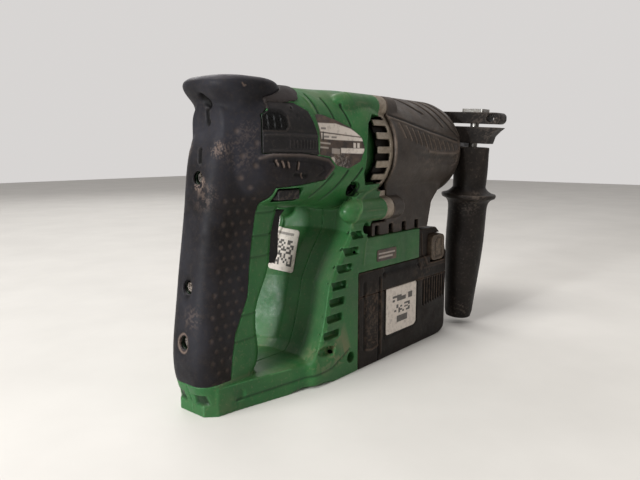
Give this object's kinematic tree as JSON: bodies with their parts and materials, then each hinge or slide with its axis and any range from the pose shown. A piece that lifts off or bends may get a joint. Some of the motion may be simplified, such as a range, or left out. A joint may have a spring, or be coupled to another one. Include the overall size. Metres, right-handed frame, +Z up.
{
  "type": "cordless rotary hammer",
  "caption": "D-handle cordless rotary hammer: green casing, rubber grip, dark gear cover, slotted metal ring, slide-in battery and a clamp-on side handle.",
  "frame": {"origin": "on the surface the tool stands on, in the middle of the flat foot under the D-handle", "axes": "+X forward along the barrel to the bit, +Y the tool's left side, +Z up"},
  "size_m": [0.3853, 0.1193, 0.219],
  "materials": {
    "green_casing": "satin glass-filled nylon, worn at the edges",
    "grip_rubber": "matte, scuffed and pitted",
    "black_plastic": "satin",
    "grey_cover": "matte with dust",
    "battery_plastic": "satin, scratched",
    "latch_plastic": "satin, dusty",
    "handle_plastic": "satin",
    "plate_film": "printed film",
    "cast_aluminium": "as cast, dusty",
    "piston_aluminium": "turned",
    "screw_steel": "zinc plated",
    "plated_steel": "zinc plated",
    "bearing_steel": "ground",
    "gear_steel": "hardened, oiled",
    "spring_steel": "drawn wire",
    "lamination_steel": "varnished stack",
    "magnet_ferrite": "sintered",
    "copper_bars": "turned copper",
    "circuit_board": "coated board",
    "cell_wrap": "shrink wrap",
    "seal_rubber": "matte"
  },
  "bodies": {
    "housing": {"right_housing": "green_casing", "left_housing": "green_casing", "grip_cover": "grip_rubber", "right_side_cover": "black_plastic", "left_side_cover": "black_plastic", "name_plate": "plate_film", "handle_screws": "screw_steel", "split_screws": "screw_steel", "cover_screws": "screw_steel", "inner_cover": "cast_aluminium", "gear_cover": "grey_cover", "front_collar": "cast_aluminium", "bearing_bridge": "cast_aluminium", "rear_brace": "black_plastic", "motor_can": "plated_steel", "magnets": "magnet_ferrite", "brush_gear": "black_plastic", "motor_bearings": "bearing_steel", "layshaft_bearings": "bearing_steel", "cylinder_bearings": "bearing_steel", "switch_unit": "black_plastic", "control_board": "circuit_board", "terminal_block": "black_plastic", "trigger_spring": "spring_steel"},
    "armature": {"armature_core": "lamination_steel", "motor_shaft": "bearing_steel", "commutator": "copper_bars", "cooling_fan": "black_plastic"},
    "layshaft": {"layshaft": "gear_steel", "layshaft_gear": "gear_steel", "swash_hub": "gear_steel"},
    "swash": {"swash_ring": "gear_steel"},
    "piston": {"piston": "piston_aluminium"},
    "striker": {"striker": "gear_steel", "striker_o_ring": "seal_rubber"},
    "impact_bolt": {"impact_bolt": "gear_steel"},
    "spindle": {"cylinder": "gear_steel", "spindle_gear": "gear_steel", "tool_holder": "gear_steel", "locking_ball": "bearing_steel", "dust_cap": "seal_rubber", "sleeve_spring": "spring_steel"},
    "locking_sleeve": {"locking_sleeve": "black_plastic"},
    "mode_knob": {"mode_knob": "black_plastic"},
    "trigger": {"trigger": "black_plastic"},
    "reversing_lever": {"reversing_lever": "black_plastic"},
    "battery": {"battery_case": "battery_plastic", "battery_cover": "battery_plastic", "battery_cells": "cell_wrap", "battery_board": "circuit_board"},
    "right_latch": {"right_latch_button": "latch_plastic"},
    "left_latch": {"left_latch_button": "latch_plastic"},
    "side_clamp": {"clamp_ring": "handle_plastic"},
    "clamp_bolt": {"clamp_bolt": "plated_steel"},
    "side_grip": {"side_grip": "handle_plastic", "grip_nut": "plated_steel"}
  },
  "joints": [
    {"name": "spindle_spin", "type": "hinge", "parent": "housing", "child": "spindle", "pos_m": [0.2, 0, 0.172], "axis": [1, 0, 0], "continuous": true},
    {"name": "layshaft_spin", "type": "hinge", "parent": "housing", "child": "layshaft", "pos_m": [0.13, 0, 0.142], "axis": [1, 0, 0], "continuous": true},
    {"name": "armature_spin", "type": "hinge", "parent": "housing", "child": "armature", "pos_m": [0.04, 0, 0.164], "axis": [1, 0, 0], "continuous": true},
    {"name": "piston_slide", "type": "slide", "parent": "housing", "child": "piston", "axis": [1, 0, 0], "range_m": [-0.00418, 0.00418]},
    {"name": "swash_rock", "type": "hinge", "parent": "housing", "child": "swash", "pos_m": [0.113, 0, 0.142], "axis": [0, 1, 0], "range_deg": [-8, 8]},
    {"name": "striker_slide", "type": "slide", "parent": "housing", "child": "striker", "axis": [1, 0, 0], "range_m": [-0.0015, 0.0045]},
    {"name": "impact_bolt_slide", "type": "slide", "parent": "housing", "child": "impact_bolt", "axis": [1, 0, 0], "range_m": [0, 0.003]},
    {"name": "sleeve_pull", "type": "slide", "parent": "spindle", "child": "locking_sleeve", "axis": [-1, 0, 0], "range_m": [0, 0.0065], "stiffness_N_per_m": 700},
    {"name": "mode_knob_turn", "type": "hinge", "parent": "housing", "child": "mode_knob", "pos_m": [0.142, 0.036, 0.127], "axis": [0, 1, 0], "range_deg": [-45, 45]},
    {"name": "trigger_squeeze", "type": "slide", "parent": "housing", "child": "trigger", "axis": [-1, 0, 0], "range_m": [0, 0.006], "stiffness_N_per_m": 900},
    {"name": "reversing_push", "type": "slide", "parent": "housing", "child": "reversing_lever", "axis": [0, 1, 0], "range_m": [-0.003, 0.003]},
    {"name": "battery_slide", "type": "slide", "parent": "housing", "child": "battery", "axis": [1, 0, 0], "range_m": [0, 0.009]},
    {"name": "right_latch_press", "type": "slide", "parent": "battery", "child": "right_latch", "axis": [0, 1, 0], "range_m": [0, 0.003], "stiffness_N_per_m": 900},
    {"name": "left_latch_press", "type": "slide", "parent": "battery", "child": "left_latch", "axis": [0, -1, 0], "range_m": [0, 0.003], "stiffness_N_per_m": 900},
    {"name": "side_handle_swivel", "type": "hinge", "parent": "housing", "child": "side_clamp", "pos_m": [0.228, 0, 0.172], "axis": [1, 0, 0], "continuous": true},
    {"name": "clamp_bolt_draw", "type": "slide", "parent": "side_clamp", "child": "clamp_bolt", "axis": [0, -0.0576, 0.9983], "range_m": [0, 0.00126]},
    {"name": "grip_twist", "type": "hinge", "parent": "side_clamp", "child": "side_grip", "pos_m": [0.228, -0.04293, 0.16952], "axis": [0, 0.0576, -0.9983], "range_deg": [0, 360]}
  ],
  "couplings": [
    {"joint": "layshaft_spin", "follows": "spindle_spin", "ratio": -4},
    {"joint": "armature_spin", "follows": "spindle_spin", "ratio": 18},
    {"joint": "swash_rock", "follows": "piston_slide", "rad_per_m": 33.333},
    {"joint": "clamp_bolt_draw", "follows": "grip_twist", "m_per_rad": 0.00019894}
  ]
}
